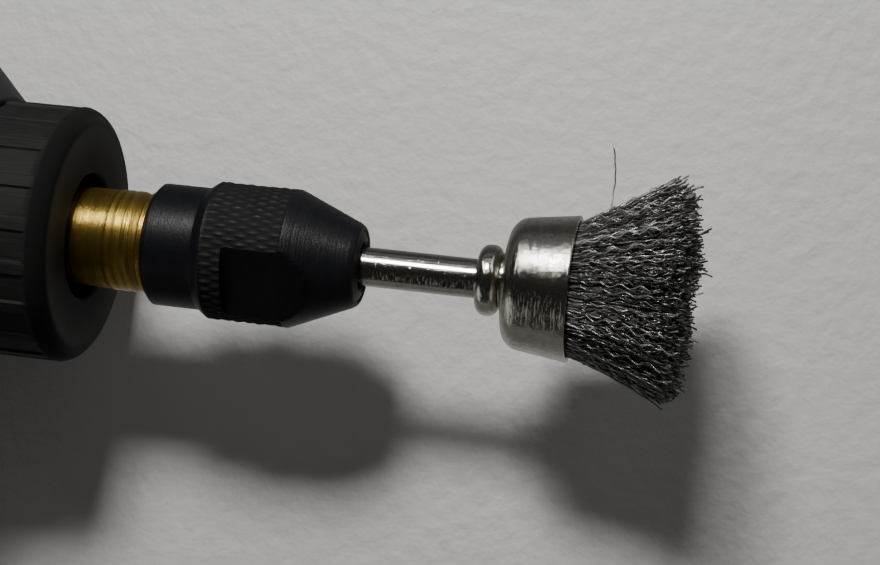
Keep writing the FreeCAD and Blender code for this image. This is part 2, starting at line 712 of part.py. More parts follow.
def make_terminals():
    pieces = []
    for side in (-1, 1):
        y_range = (side * (TERMINAL_Y - TERMINAL_HALF_THICKNESS),
                   side * (TERMINAL_Y + TERMINAL_HALF_THICKNESS))
        tab = block((TERMINAL_TIP, CAN_REAR - 0.2), y_range, (-TERMINAL_HALF_WIDTH, TERMINAL_HALF_WIDTH))
        eye = rod_at(TERMINAL_EYE_RADIUS, vec(TERMINAL_TIP + 1.5, side * TERMINAL_Y - 1, 0),
                     vec(0, 1, 0), 2)
        pieces.append(tab.cut(eye))
    return Part.makeCompound(pieces)


def make_shaft():
    return turned([
        (SHAFT_REAR, 0), (SHAFT_REAR, SHAFT_RADIUS, 0.2), (SHAFT_FRONT, SHAFT_RADIUS, 0.2),
        (SHAFT_FRONT, 0),
    ])


def make_core():
    """Three-pole laminated stack."""
    tooth = block((CORE_REAR, CORE_FRONT), (-TOOTH_HALF_WIDTH, TOOTH_HALF_WIDTH),
                  (0, CORE_RADIUS - CORE_SHOE / 2))
    shoe = sector(CORE_RADIUS, CORE_RADIUS - CORE_SHOE, CORE_FRONT, CORE_REAR, CORE_SHOE_ARC, 90)
    pole = tooth.fuse(shoe)
    body = rod(CORE_HUB_RADIUS, CORE_REAR, CORE_FRONT).fuse(around(pole, 3))
    return body.cut(rod(SHAFT_RADIUS + FIT_GAP, CORE_REAR - 1, CORE_FRONT + 1))


def make_coils():
    """One coil of enamelled wire round each pole."""
    coil = prism(COIL_OUTLINE, CORE_REAR - COIL_OVERHANG, CORE_FRONT + COIL_OVERHANG)
    reach = TOOTH_HALF_WIDTH + 0.05
    hole = block((CORE_REAR - 0.05, CORE_FRONT + 0.05), (-reach, reach), (0, CORE_RADIUS))
    coil = coil.cut(hole)
    long_edges = [edge for edge in coil.Edges if edge.Length > abs(CORE_REAR - CORE_FRONT) + 2]
    coil = coil.makeFillet(0.7, long_edges)
    return Part.makeCompound(around(coil, 3))


def make_commutator():
    body = tube(COMMUTATOR_RADIUS, SHAFT_RADIUS + FIT_GAP, COMMUTATOR_REAR, COMMUTATOR_FRONT)
    riser = tube(COMMUTATOR_RADIUS + 1.0, SHAFT_RADIUS + FIT_GAP,
                 COMMUTATOR_FRONT, COMMUTATOR_FRONT + COMMUTATOR_RISER)
    gap = block((COMMUTATOR_REAR - 1, COMMUTATOR_FRONT + 2), (-0.2, 0.2), (COMMUTATOR_RADIUS - 0.7, 7))
    return body.fuse(riser).cut(around(gap, 3, 60))


def make_switch_body():
    case = block((SWITCH_REAR, SWITCH_FRONT), (-SWITCH_HALF_WIDTH, SWITCH_HALF_WIDTH),
                 (SWITCH_BOTTOM, SWITCH_TOP))
    long_edges = [edge for edge in case.Edges if edge.Length > 2 * (SWITCH_TOP - SWITCH_BOTTOM)]
    case = case.makeFillet(0.4, long_edges)
    well = block((SLOT_REAR, SLOT_FRONT), (-SLOT_HALF_WIDTH, SLOT_HALF_WIDTH), (SWITCH_WELL_FLOOR, 14))
    return case.cut(well)


def make_switch_lugs():
    lugs = []
    for station in SWITCH_LUG_STATIONS:
        lugs.append(block((station - 0.9, station + 0.9), (-0.2, 0.2), (SWITCH_LUG_TIP, SWITCH_BOTTOM)))
    return Part.makeCompound(lugs)


def make_switch_knob():
    front = PAD_REAR + PAD_LENGTH
    underside = POCKET_FLOOR + 0.08
    pad = block((PAD_REAR, front), (-PAD_HALF_WIDTH, PAD_HALF_WIDTH), (underside, PAD_TOP))
    upright = [edge for edge in pad.Edges if abs(edge.Length - (PAD_TOP - underside)) < 0.01]
    pad = pad.makeFillet(1.0, upright)
    rim = [edge for edge in pad.Edges if edge.BoundBox.ZMin > PAD_TOP - 0.01]
    pad = pad.makeFillet(0.45, rim)
    grooves = []
    for index in range(PAD_GROOVES):
        station = PAD_REAR + PAD_LENGTH * (index + 1) / (PAD_GROOVES + 1)
        grooves.append(rod_at(PAD_GROOVE_RADIUS, vec(station, -6, PAD_TOP + 0.08), vec(0, 1, 0), 12))
    middle = PAD_REAR + PAD_LENGTH / 2
    stem = block((middle - STEM_LENGTH / 2, middle + STEM_LENGTH / 2),
                 (-STEM_HALF_WIDTH, STEM_HALF_WIDTH), (SWITCH_WELL_FLOOR + 0.3, POCKET_FLOOR + 0.5))
    return pad.cut(grooves).fuse(stem)


def make_jack():
    return turned([
        (BODY_REAR, JACK_SOCKET_RADIUS + 0.3), (BODY_REAR, JACK_FLANGE_RADIUS, 0.3),
        (TAIL_REAR - 0.01, JACK_FLANGE_RADIUS), (TAIL_REAR - 0.01, JACK_RADIUS),
        (JACK_FRONT, JACK_RADIUS), (JACK_FRONT, 1.3), (JACK_SOCKET_END, 1.3),
        (JACK_SOCKET_END, JACK_SOCKET_RADIUS), (BODY_REAR + 0.3, JACK_SOCKET_RADIUS),
    ])


def make_jack_contacts():
    pin = turned([
        (JACK_LUG_FRONT + 1.0, 0), (JACK_LUG_FRONT + 1.0, 0.5), (JACK_FRONT + 0.5, 0.5),
        (JACK_FRONT + 0.5, JACK_PIN_RADIUS), (BODY_REAR + 0.8, JACK_PIN_RADIUS, 0.4),
        (BODY_REAR + 0.8, 0),
    ])
    sleeve_lug = block((JACK_FRONT + 0.01, JACK_LUG_FRONT), (-0.9, 0.9), (-3.2, -2.8))
    return Part.makeCompound([pin, sleeve_lug])


def make_jack_nut():
    plate = TAIL_REAR + TAIL_PLATE
    return hexagon(JACK_NUT_FLATS, plate + 0.01, plate + 2.0).cut(rod(JACK_RADIUS + 0.02, -95, -80))


def make_capacitor():
    rear = CAPACITOR_STATION - CAPACITOR_HALF_THICKNESS
    front = CAPACITOR_STATION + CAPACITOR_HALF_THICKNESS
    disc = turned([
        (rear, 0), (rear, CAPACITOR_RADIUS, 0.7), (front, CAPACITOR_RADIUS, 0.7), (front, 0),
    ])
    inner = CAPACITOR_RADIUS - 0.3
    outer = TERMINAL_Y - TERMINAL_HALF_THICKNESS - 0.05
    leg = rod_at(CAPACITOR_LEG_RADIUS, vec(CAPACITOR_STATION, inner, 0), vec(0, 1, 0), outer - inner)
    return disc.fuse(around(leg, 2))


def make_leads():
    supply_lug, motor_lug = SWITCH_LUG_STATIONS[2], SWITCH_LUG_STATIONS[1]
    supply = lead([(JACK_LUG_FRONT + 1.7, 0, 0), (-74.6, 1.4, 0.8), (-74.8, 2.2, 2.8),
                   (-76.2, 1.5, 3.9), (supply_lug, 0, SWITCH_LUG_TIP - 0.6)], LEAD_RADIUS)
    motor = lead([(motor_lug, 0, SWITCH_LUG_TIP - 0.65), (-72.6, 1.0, 2.9), (-69.0, 5.0, 2.0),
                  (-64.0, 9.0, 0.8), (TERMINAL_TIP - 0.7, TERMINAL_Y + 0.1, 0)], LEAD_RADIUS)
    ground = lead([(JACK_LUG_FRONT + 0.7, 0, -3.0), (-73.0, -1.5, -4.2), (-68.0, -6.0, -4.0),
                   (-63.5, -9.0, -1.2), (TERMINAL_TIP - 0.7, -TERMINAL_Y - 0.1, 0)], LEAD_RADIUS)
    return supply, motor, ground


def build():
    """All the pieces, by name."""
    shell_left, shell_right = make_shells()
    front_bush, rear_bush = make_bushes()
    supply, motor, ground = make_leads()
    return {
        "shell_left": shell_left,
        "shell_right": shell_right,
        "shell_screws": make_shell_screws(),
        "tail_cap": make_tail_cap(),
        "tail_screws": make_tail_screws(),
        "nose_ring": make_nose_ring(),
        "nose_o_ring": make_o_ring(),
        "brass_spindle": make_spindle(),
        "spindle_grub_screws": make_grub_screws(),
        "collet": make_collet(),
        "collet_nut": make_nut(),
        "brush_shank": make_shank(),
        "brush_bead": make_bead(),
        "brush_washer": make_washer(),
        "brush_cup": make_cup(),
        "brush_wires": make_wires(),
        "motor_can": make_can(),
        "motor_magnets": make_magnets(),
        "motor_end_cap": make_end_cap(),
        "motor_front_bush": front_bush,
        "motor_rear_bush": rear_bush,
        "motor_carbon_brushes": make_carbon_brushes(),
        "motor_terminals": make_terminals(),
        "motor_shaft": make_shaft(),
        "armature_core": make_core(),
        "armature_coils": make_coils(),
        "commutator": make_commutator(),
        "switch_body": make_switch_body(),
        "switch_lugs": make_switch_lugs(),
        "switch_knob": make_switch_knob(),
        "dc_jack": make_jack(),
        "jack_contacts": make_jack_contacts(),
        "jack_nut": make_jack_nut(),
        "capacitor": make_capacitor(),
        "lead_supply": supply,
        "lead_motor": motor,
        "lead_ground": ground,
    }


for name, shape in build().items():
    shape.translate(vec(X_SHIFT, 0, AXIS_HEIGHT))
    shape.exportStep("parts/" + name + ".step")
    box = shape.BoundBox
    print(name, "valid" if shape.isValid() else "NOT VALID", len(shape.Solids), "solids",
          "volume", round(shape.Volume, 1),
          "box", [round(value, 2) for value in (box.XMin, box.YMin, box.ZMin, box.XMax, box.YMax, box.ZMax)])
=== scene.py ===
import json
import math

import bpy
import numpy as np
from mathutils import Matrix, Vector


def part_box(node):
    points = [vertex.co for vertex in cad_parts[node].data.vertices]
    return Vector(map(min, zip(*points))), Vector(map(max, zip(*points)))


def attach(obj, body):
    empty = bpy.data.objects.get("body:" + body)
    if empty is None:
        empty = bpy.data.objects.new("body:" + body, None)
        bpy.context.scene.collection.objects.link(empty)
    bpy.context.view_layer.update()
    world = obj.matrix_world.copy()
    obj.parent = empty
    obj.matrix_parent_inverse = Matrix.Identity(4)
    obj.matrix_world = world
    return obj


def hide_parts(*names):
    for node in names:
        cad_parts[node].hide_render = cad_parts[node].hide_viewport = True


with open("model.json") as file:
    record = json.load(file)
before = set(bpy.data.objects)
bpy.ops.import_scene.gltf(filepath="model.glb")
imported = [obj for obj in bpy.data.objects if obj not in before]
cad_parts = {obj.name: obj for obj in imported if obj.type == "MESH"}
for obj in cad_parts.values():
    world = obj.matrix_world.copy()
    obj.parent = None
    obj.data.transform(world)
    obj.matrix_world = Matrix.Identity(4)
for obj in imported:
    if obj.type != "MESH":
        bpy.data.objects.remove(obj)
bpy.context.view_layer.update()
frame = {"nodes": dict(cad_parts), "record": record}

# ---------------------------------------------------------------- frame
MM = 0.001
AXIS_Z = 0.015                                  # spindle axis above the floor, m
X_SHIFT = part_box("nose_ring")[1].x / MM         # X of station 0, the nose ring's front face, mm
TAU = 2 * math.pi


def place(s, y, z):
    """Station s along the axis, y and z from the axis, all in mm, to the frame in metres."""
    return ((s + X_SHIFT) * MM, y * MM, AXIS_Z + z * MM)


# ---------------------------------------------------------------- shader helpers
class Shader:
    """A material under construction: short names for the nodes used again and again."""

    def __init__(self, name, **sockets):
        self.mat = bpy.data.materials.new(name)
        self.mat.use_nodes = True
        self.tree = self.mat.node_tree
        self.bsdf = next(n for n in self.tree.nodes if n.type == "BSDF_PRINCIPLED")
        for key, value in sockets.items():
            self.bsdf.inputs[key.replace("_", " ")].default_value = value
        coords = self.tree.nodes.new("ShaderNodeTexCoord")
        self.position = coords.outputs["Object"]

    def node(self, kind, **settings):
        made = self.tree.nodes.new(kind)
        for key, value in settings.items():
            setattr(made, key, value)
        return made

    def feed(self, socket, value):
        if isinstance(value, bpy.types.NodeSocket):
            self.tree.links.new(value, socket)
        else:
            socket.default_value = value

    def math(self, operation, a, b=0.0, clamp=False):
        made = self.node("ShaderNodeMath", operation=operation, use_clamp=clamp)
        self.feed(made.inputs[0], a)
        self.feed(made.inputs[1], b)
        return made.outputs[0]

    def mapped(self, scale=(1, 1, 1), shift=(0, 0, 0)):
        made = self.node("ShaderNodeMapping")
        self.feed(made.inputs["Vector"], self.position)
        made.inputs["Scale"].default_value = scale
        made.inputs["Location"].default_value = shift
        return made.outputs[0]

    def noise(self, scale, detail=4.0, rough=0.55, source=None):
        made = self.node("ShaderNodeTexNoise")
        self.feed(made.inputs["Vector"], source or self.position)
        made.inputs["Scale"].default_value = scale
        made.inputs["Detail"].default_value = detail
        made.inputs["Roughness"].default_value = rough
        return made.outputs["Fac"]

    def voronoi(self, scale):
        made = self.node("ShaderNodeTexVoronoi")
        self.feed(made.inputs["Vector"], self.position)
        made.inputs["Scale"].default_value = scale
        return made.outputs["Distance"]

    def spread(self, value, low, high, to_low=0.0, to_high=1.0):
        """The value's run from low to high, stretched to run from to_low to to_high."""
        made = self.node("ShaderNodeMapRange")
        self.feed(made.inputs["Value"], value)
        made.inputs["From Min"].default_value = low
        made.inputs["From Max"].default_value = high
        made.inputs["To Min"].default_value = to_low
        made.inputs["To Max"].default_value = to_high
        return made.outputs["Result"]

    def mix(self, factor, a, b):
        made = self.node("ShaderNodeMix", data_type="RGBA")
        self.feed(made.inputs[0], factor)
        for socket, value in ((made.inputs[6], a), (made.inputs[7], b)):
            self.feed(socket, value if isinstance(value, bpy.types.NodeSocket) else (*value, 1.0))
        return made.outputs[2]

    def attribute(self, name):
        return self.node("ShaderNodeAttribute", attribute_name=name).outputs["Fac"]

    def about_axis(self):
        """Coordinates measured from the spindle axis."""
        parts = self.node("ShaderNodeSeparateXYZ")
        self.feed(parts.inputs[0], self.mapped(shift=(0, 0, -AXIS_Z)))
        return parts.outputs

    def cylinder(self, around, along):
        """Vector of (station, angle, radius) about the spindle axis, the first two scaled."""
        x, y, z = self.about_axis()
        square = self.math("ADD", self.math("MULTIPLY", y, y), self.math("MULTIPLY", z, z))
        joined = self.node("ShaderNodeCombineXYZ")
        self.feed(joined.inputs[0], self.math("MULTIPLY", x, along))
        self.feed(joined.inputs[1], self.math("MULTIPLY", self.math("ARCTAN2", y, z), around))
        self.feed(joined.inputs[2], self.math("SQRT", square))
        return joined.outputs[0]

    def rings(self, scale, detail, rough, stray_scale=None, stray=0.0):
        """Noise that changes along the axis only, so it lies in rings round it. The rings stray a
        little where stray_scale is given."""
        line = self.node("ShaderNodeCombineXYZ")
        self.feed(line.inputs[0], self.math("MULTIPLY", self.about_axis()[0], scale))
        if stray_scale:
            self.feed(line.inputs[1], self.math("MULTIPLY", self.noise(stray_scale, 2.0), stray))
        return self.noise(1.0, detail, rough, line.outputs[0])

    def bump(self, height, strength, distance, normal=None):
        made = self.node("ShaderNodeBump")
        self.feed(made.inputs["Height"], height)
        made.inputs["Strength"].default_value = strength
        made.inputs["Distance"].default_value = distance
        if normal is not None:
            self.feed(made.inputs["Normal"], normal)
        return made.outputs[0]

    def finish(self, color, normal, roughness=None):
        self.feed(self.bsdf.inputs["Base Color"], color)
        self.feed(self.bsdf.inputs["Normal"], normal)
        if roughness is not None:
            self.feed(self.bsdf.inputs["Roughness"], roughness)
        return self.mat


# ---------------------------------------------------------------- materials
def moulded_plastic(name, dark, light, grain, roughness, grain_height):
    """Moulded plastic: spark-eroded grain, faint scuffs running along the tool."""
    m = Shader(name)
    cells = m.voronoi(grain)
    fine = m.noise(grain * 0.6, 3.0)
    scuff = m.noise(1.0, 6.0, 0.7, m.mapped((260, 2600, 2600)))
    scuff = m.spread(scuff, 0.60, 0.78)
    patch = m.spread(m.noise(160, 3.0), 0.35, 0.7)
    worn = m.math("MULTIPLY", scuff, patch)
    color = m.mix(worn, dark, light)
    rough = m.math("ADD", m.spread(fine, 0.3, 0.7, roughness - 0.06, roughness + 0.08),
                   m.math("MULTIPLY", worn, -0.08))
    height = m.math("ADD", m.math("MULTIPLY", cells, 0.6), m.math("MULTIPLY", fine, 0.6))
    normal = m.bump(height, 0.35, grain_height)
    normal = m.bump(scuff, 0.12, 0.00002, normal)
    return m.finish(color, normal, rough)


def ring_plastic():
    """Matt black ring: fine grain, lengthwise scuffs, rubbed edges, a paler front that is partly a
    smoother moulded finish and partly painted reflection of the lit sheet, and painted shade on
    the rounded edge round it, heaviest on the upper side."""
    m = Shader("ring_plastic", Specular_IOR_Level=0.2)
    worn_edge = m.attribute("wear")
    face_and_painted_sheen = m.attribute("face_and_painted_sheen")
    painted_corner_shade = m.attribute("painted_corner_shade")
    lengthwise = m.cylinder(around=60.0, along=250.0)
    streak = m.spread(m.noise(1.0, 5.0, 0.65, lengthwise), 0.45, 0.75)
    grain = m.noise(9000, 3.0, 0.6)
    blotch = m.spread(m.noise(220, 4.0, 0.6), 0.3, 0.75)
    tone = m.mix(blotch, (0.0052, 0.0052, 0.0053), (0.0094, 0.0094, 0.0093))
    tone = m.mix(m.math("MULTIPLY", streak, 0.7), tone, (0.028, 0.028, 0.0275))
    tone = m.mix(m.math("MULTIPLY", worn_edge, 0.5), tone, (0.036, 0.036, 0.035))
    # paler front: partly its smoother moulded finish, partly painted reflection of the lit sheet
    tone = m.mix(m.math("MULTIPLY", face_and_painted_sheen, 0.9), tone, (0.034, 0.034, 0.0338))
    # painted shade: the rounded front edge is darkened in colour, heaviest on the upper side
    tone = m.mix(painted_corner_shade, tone, (0.005, 0.005, 0.005))
    rough = m.spread(m.math("ADD", grain, streak), 0.3, 1.5, 0.62, 0.8)
    rough = m.math("SUBTRACT", rough, m.math("MULTIPLY", face_and_painted_sheen, 0.05))
    rough = m.math("ADD", rough, m.math("MULTIPLY", painted_corner_shade, 0.3), True)
    normal = m.bump(grain, 0.3, 0.00003)
    normal = m.bump(streak, 0.2, 0.00003, normal)
    return m.finish(tone, normal, rough)


def black_steel():
    """Blackened steel: satin, with fine turning lines; matt in the knurl, whose crests are rubbed
    brown and shiny."""
    m = Shader("black_steel", Specular_IOR_Level=0.21)
    worn = m.attribute("wear")
    turned = m.attribute("turned")
    matt = m.attribute("matt")
    rings = m.rings(6500.0, 5.0, 0.75, 90, 1.5)
    speck = m.noise(3200, 4.0, 0.75)
    cloud = m.spread(m.noise(350, 3.0), 0.3, 0.7)
    base = m.mix(cloud, (0.0032, 0.0035, 0.0048), (0.0062, 0.0067, 0.0088))
    rubbed = m.mix(m.spread(speck, 0.35, 0.65), (0.006, 0.0045, 0.003), (0.044, 0.0325, 0.021))
    color = m.mix(m.math("MULTIPLY", worn, 0.9, True), base, rubbed)
    lines = m.math("MULTIPLY", m.spread(rings, 0.35, 0.7), turned)
    color = m.mix(m.math("MULTIPLY", lines, 0.3), color, (0.024, 0.024, 0.026))
    rough = m.math("ADD", m.spread(speck, 0.3, 0.7, 0.32, 0.44), m.math("MULTIPLY", matt, 0.45))
    rough = m.math("SUBTRACT", rough, m.math("MULTIPLY", worn, 0.5))
    height = m.math("ADD", m.math("MULTIPLY", rings, turned),
                    m.math("MULTIPLY", speck, 0.35))
    normal = m.bump(height, 0.9, 0.00005)
    return m.finish(color, normal, rough)


def brass():
    """Turned brass: faint turning rings, tarnish in patches, grime in the thread's hollows and
    painted shade in the groove beside the nut.
    """
    m = Shader("brass", Metallic=0.965)
    hollow_grime_and_shade = m.attribute("hollow_grime_and_shade")
    rings = m.rings(9000.0, 4.0, 0.7, 60, 1.0)
    tarnish = m.spread(m.noise(260, 4.0, 0.6), 0.5, 0.78)
    color = m.mix(m.spread(rings, 0.3, 0.7), (0.40, 0.27, 0.05), (0.53, 0.365, 0.085))
    color = m.mix(m.math("MULTIPLY", tarnish, 0.4), color, (0.4, 0.26, 0.08))
    # darker brown: grime in the thread's hollows, and painted shade in the relief groove beside
    # the nut
    color = m.mix(m.math("MULTIPLY", hollow_grime_and_shade, 0.8), color, (0.12, 0.07, 0.02))
    rough = m.math("ADD", m.spread(tarnish, 0, 1, 0.27, 0.36), m.math("MULTIPLY", hollow_grime_and_shade, 0.15))
    height = m.math("ADD", rings, m.math("MULTIPLY", m.noise(1500, 4.0), 0.12))
    normal = m.bump(height, 1.0, 0.00006)
    return m.finish(color, normal, rough)


def nickel():
    """Nickel plate over drawn steel: mottled, scratched round the axis, with pits and dull
    patches."""
    m = Shader("nickel_plate", Metallic=1.0)
    loose = m.cylinder(around=14.0, along=500.0)
    ringed = m.cylinder(around=3.0, along=7000.0)
    scratch = m.spread(m.noise(1.0, 6.0, 0.75, ringed), 0.54, 0.7)
    hair = m.spread(m.noise(6.0, 5.0, 0.7, loose), 0.58, 0.75)
    dull = m.spread(m.noise(750, 5.0, 0.65), 0.42, 0.68)
    pit = m.spread(m.noise(4200, 4.0, 0.7), 0.56, 0.72)
    fine = m.math("MULTIPLY", m.noise(2600, 4.0, 0.7), m.attribute("mottle"))
    tone = m.mix(dull, (0.64, 0.61, 0.55), (0.53, 0.505, 0.45))
    tone = m.mix(m.math("MULTIPLY", pit, 0.45), tone, (0.16, 0.15, 0.13))
    tone = m.mix(m.math("MULTIPLY", scratch, 0.3), tone, (0.26, 0.25, 0.22))
    rough = m.math("ADD", m.spread(dull, 0, 1, 0.12, 0.17),
                   m.math("MULTIPLY", m.math("ADD", scratch, hair), 0.07))
    normal = m.bump(fine, 0.7, 0.00005)
    normal = m.bump(scratch, 0.4, 0.00003, normal)
    return m.finish(tone, normal, rough)


def wire_steel():
    """Crimped steel wire: dark oxide on most strands, bare metal glints on others."""
    m = Shader("wire_steel", Metallic=0.55, Specular_IOR_Level=0.8)
    strand = m.attribute("strand")
    mottled = m.spread(m.noise(2600, 3.0), 0.35, 0.65)
    color = m.mix(strand, (0.04, 0.0395, 0.0385), (0.58, 0.575, 0.56))
    color = m.mix(m.math("MULTIPLY", mottled, 0.45), color, (0.03, 0.0285, 0.027))
    rough = m.spread(mottled, 0, 1, 0.22, 0.4)
    normal = m.bump(m.noise(9000, 2.0), 0.2, 0.00001)
    return m.finish(color, normal, rough)


def plain(name, dark, light, roughness, metallic=0.0, scale=900.0, relief=0.2):
    """Two-tone mottled finish for the small inner pieces."""
    m = Shader(name, Metallic=metallic)
    mottled = m.spread(m.noise(scale, 4.0), 0.3, 0.7)
    rough = m.spread(m.noise(scale * 2.2, 3.0), 0.3, 0.7, roughness - 0.05, roughness + 0.08)
    normal = m.bump(m.noise(scale * 3, 3.0), relief, 0.00002)
    return m.finish(m.mix(mottled, dark, light), normal, rough)


def wound_copper():
    """Enamelled winding wire: turns lie side by side across the pole."""
    m = Shader("enamelled_copper", Metallic=0.7, Coat_Weight=0.6, Coat_Roughness=0.15)
    turns = m.node("ShaderNodeTexWave", wave_type="BANDS", bands_direction="Z", wave_profile="SIN")
    m.feed(turns.inputs["Vector"], m.position)
    turns.inputs["Scale"].default_value = 900
    turns.inputs["Distortion"].default_value = 1.2
    wave = turns.outputs["Fac"]
    color = m.mix(wave, (0.16, 0.045, 0.012), (0.62, 0.22, 0.06))
    return m.finish(color, m.bump(wave, 0.6, 0.0001), m.spread(wave, 0, 1, 0.4, 0.24))


def laminated_steel():
    """Stacked sheet: fine lines across the axis."""
    m = Shader("lamination_steel", Metallic=0.85)
    sheets = m.spread(m.rings(4000.0, 2.0, 0.5), 0.4, 0.6)
    color = m.mix(sheets, (0.1, 0.1, 0.105), (0.34, 0.34, 0.35))
    return m.finish(color, m.bump(sheets, 0.5, 0.00005), m.spread(sheets, 0, 1, 0.5, 0.32))


MATERIALS = {
    "housing_plastic": moulded_plastic("housing_plastic", (0.0145, 0.0145, 0.015),
                                       (0.036, 0.036, 0.036), 5200, 0.46, 0.00004),
    "ring_plastic": ring_plastic(),
    "knob_plastic": moulded_plastic("knob_plastic", (0.014, 0.014, 0.014),
                                    (0.04, 0.04, 0.04), 7000, 0.42, 0.00002),
    "black_steel": black_steel(),
    "brass": brass(),
    "nickel_plate": nickel(),
    "wire_steel": wire_steel(),
    "screw_steel": plain("screw_steel", (0.05, 0.05, 0.052), (0.11, 0.11, 0.115), 0.35, 0.9),
    "motor_steel": plain("motor_steel", (0.42, 0.42, 0.4), (0.56, 0.55, 0.52), 0.3, 1.0, 500),
    "ferrite": plain("ferrite", (0.03, 0.03, 0.032), (0.07, 0.07, 0.072), 0.6, 0.0, 1500, 0.4),
    "inner_plastic": plain("inner_plastic", (0.018, 0.018, 0.019), (0.03, 0.03, 0.03), 0.45),
    "bush_bronze": plain("bush_bronze", (0.42, 0.24, 0.1), (0.6, 0.4, 0.18), 0.36, 1.0, 2500, 0.4),
    "carbon": plain("carbon", (0.02, 0.02, 0.022), (0.05, 0.05, 0.055), 0.5, 0.2, 3000),
    "tinned_metal": plain("tinned_metal", (0.5, 0.49, 0.46), (0.72, 0.7, 0.66), 0.28, 1.0, 1500),
    "jack_plastic": plain("jack_plastic", (0.01, 0.01, 0.01), (0.018, 0.018, 0.018), 0.25),
    "capacitor_ceramic": plain("capacitor_ceramic", (0.5, 0.22, 0.04), (0.66, 0.33, 0.08), 0.3),
    "lead_red": plain("lead_red", (0.36, 0.012, 0.01), (0.5, 0.025, 0.02), 0.42),
    "lead_black": plain("lead_black", (0.012, 0.012, 0.012), (0.025, 0.025, 0.025), 0.42),
    "polished_steel": plain("polished_steel", (0.5, 0.5, 0.5), (0.64, 0.64, 0.63), 0.16, 1.0,
                            2000, 0.1),
    "lamination_steel": laminated_steel(),
    "enamelled_copper": wound_copper(),
    "copper": plain("copper", (0.56, 0.24, 0.12), (0.78, 0.42, 0.26), 0.26, 1.0, 1800),
    "seal_rubber": plain("seal_rubber", (0.012, 0.012, 0.012), (0.022, 0.022, 0.022), 0.6),
}
SLOT_OF = {row["node"]: row["material_slot"] for row in frame["record"]["subparts"]}

for name, node in frame["nodes"].items():
    node.data.materials.clear()
    node.data.materials.append(MATERIALS[SLOT_OF[name]])


# ---------------------------------------------------------------- mesh helpers
def soften(points, steps=7):
    """Outline of (station, radius[, round]) points, its rounded corners drawn as short chords."""
    count = len(points)
    outline = []
    for index, point in enumerate(points):
        here = np.array(point[:2], float)
        rounding = point[2] if len(point) > 2 else 0.0
        if rounding == 0:
            outline.append(tuple(here))
            continue
        before = np.array(points[index - 1][:2], float) - here
        after = np.array(points[(index + 1) % count][:2], float) - here
        before /= np.linalg.norm(before)
        after /= np.linalg.norm(after)
        half = math.acos(max(-1.0, min(1.0, before @ after))) / 2
        bisector = (before + after) / np.linalg.norm(before + after)
        centre = here + bisector * rounding / math.sin(half)
        setback = rounding / math.tan(half)
        start = here + before * setback - centre
        end = here + after * setback - centre
        sweep = math.pi - 2 * half
        for step in range(steps + 1):
            t = step / steps
            arm = (math.sin((1 - t) * sweep) * start + math.sin(t * sweep) * end) / math.sin(sweep)
            outline.append(tuple(centre + arm))
    return outline


def refine(outline, longest, low=-1e9, high=1e9):
    """Splits the outline's runs between two stations so that none is longer than longest."""
    fine = []
    for index, here in enumerate(outline):
        fine.append(here)
        if index + 1 == len(outline):
            break
        there = outline[index + 1]
        inside = low - 1e-6 <= min(here[0], there[0]) and max(here[0], there[0]) <= high + 1e-6
        parts = max(1, math.ceil(math.dist(here, there) / longest)) if inside else 1
        for part in range(1, parts):
            t = part / parts
            fine.append((here[0] + (there[0] - here[0]) * t, here[1] + (there[1] - here[1]) * t))
    return fine


def lathe(name, body, node, slot, outline, segments, relief, closed=True):
    """Turns the outline about the spindle axis. relief(s, r, angle) gives the radius that a point
    really has and, in a dict, the values stored on it. Angles run from +Z towards +Y. A closed
    outline runs back to its start; an open one gets a flat cap at each end."""
    s = np.array([p[0] for p in outline], float)
    r = np.array([p[1] for p in outline], float)
    angle = np.linspace(0, TAU, segments, endpoint=False)
    grid_s = np.repeat(s[:, None], segments, 1)
    grid_r = np.repeat(r[:, None], segments, 1)
    grid_a = np.repeat(angle[None, :], len(s), 0)
    grid_r, stored = relief(grid_s, grid_r, grid_a)
    co = np.stack([(grid_s + X_SHIFT) * MM, grid_r * np.sin(grid_a) * MM,
                   grid_r * np.cos(grid_a) * MM + AXIS_Z], -1).reshape(-1, 3)
    rows = len(s)
    faces = []
    turns = rows if closed else rows - 1
    column = np.arange(segments)
    following = (column + 1) % segments
    for row in range(turns):
        a = row * segments
        b = ((row + 1) % rows) * segments
        faces.append(np.stack([a + column, a + following, b + following, b + column], -1))
    faces = np.concatenate(faces).tolist()
    if not closed:
        faces.append(list(range(segments))[::-1])
        faces.append([(rows - 1) * segments + k for k in range(segments)])
    mesh = bpy.data.meshes.new(name)
    mesh.from_pydata(co.tolist(), [], faces)
    for key, values in stored.items():
        store(mesh, key, values)
    settle(name, mesh, body, node, slot)


def store(mesh, key, values):
    """Puts one number on each vertex, for the materials to read."""
    layer = mesh.attributes.new(key, "FLOAT", "POINT")
    layer.data.foreach_set("value", np.ascontiguousarray(values.reshape(-1), dtype=np.float32))


def settle(name, mesh, body, node, slot, sharp=32.0):
    """Shades the mesh, makes its object, hangs it on the body it rides on and hides the CAD part
    it stands for.
    """
    mesh.validate()
    mesh.update()
    for polygon in mesh.polygons:
        polygon.use_smooth = True
    mesh.set_sharp_from_angle(angle=math.radians(sharp))
    obj = bpy.data.objects.new(name, mesh)
    bpy.context.scene.collection.objects.link(obj)
    obj.data.materials.append(MATERIALS[slot])
    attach(obj, body)
    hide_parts(node)


def ease(x, low, high):
    t = np.clip((x - low) / (high - low), 0, 1)
    return t * t * (3 - 2 * t)


def wavy(angle, s, seed, terms=6, scale=1.0):
    """Smooth seeded unevenness over a turned surface, about -1 to 1."""
    local = np.random.default_rng(seed)
    total = np.zeros_like(angle)
    for _ in range(terms):
        k = local.integers(1, 9)
        total += np.sin(k * angle + local.uniform(0, TAU) + local.uniform(-2, 2) * scale * s)
    return total / terms


